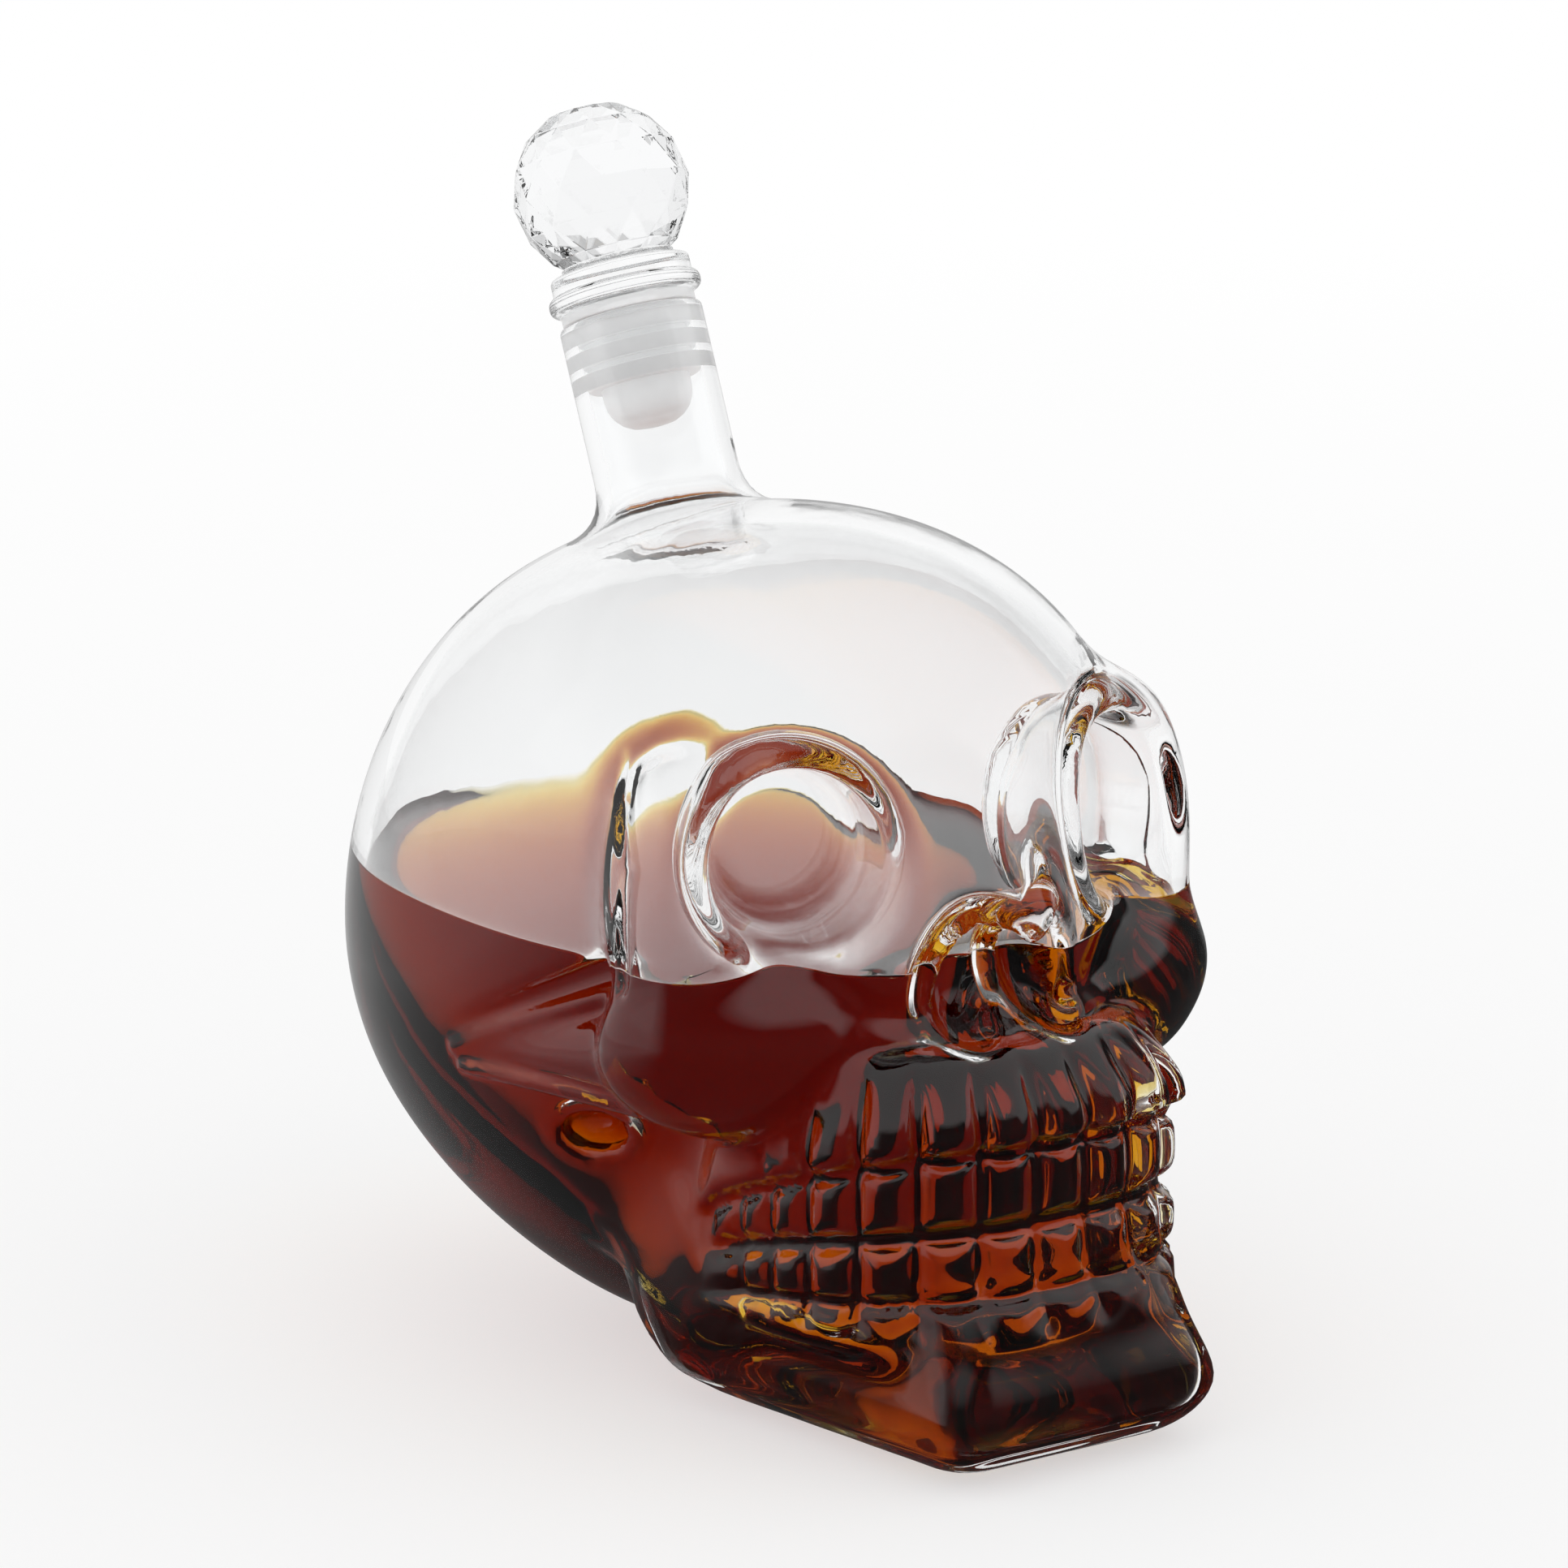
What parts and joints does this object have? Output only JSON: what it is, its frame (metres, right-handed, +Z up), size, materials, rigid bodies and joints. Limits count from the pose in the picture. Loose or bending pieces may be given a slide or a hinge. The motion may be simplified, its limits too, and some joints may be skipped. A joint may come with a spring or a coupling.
{
  "type": "figural liquor decanter",
  "caption": "Clear glass skull-shaped decanter holding dark liquor, with a neck that leans back from the crown and a lift-out faceted ball stopper in a ribbed soft seal.",
  "frame": {"origin": "on the floor under the middle of the part's box", "axes": "+Z up, -Y the way the skull looks, +X to the skull's left"},
  "size_m": [0.117, 0.1726, 0.2002],
  "materials": {
    "bottle_glass": "polished",
    "liquor": "gloss",
    "seal": "matte",
    "base_glass": "polished",
    "ball_glass": "polished"
  },
  "bodies": {
    "bottle": {"skull_bowl": "bottle_glass", "skull_dome": "bottle_glass", "bottle_neck": "bottle_glass", "liquor_fill": "liquor"},
    "seal": {"stopper_seal": "seal"},
    "knob": {"stopper_base": "base_glass", "stopper_ball": "ball_glass"}
  },
  "joints": [
    {"name": "stopper_lift", "type": "slide", "parent": "bottle", "child": "seal", "axis": [0, 0.3907, 0.9205], "range_m": [0, 0.045]},
    {"name": "stopper_twist", "type": "hinge", "parent": "seal", "child": "knob", "pos_m": [0, 0.03053, 0.13525], "axis": [0, 0.3907, 0.9205], "continuous": true}
  ]
}
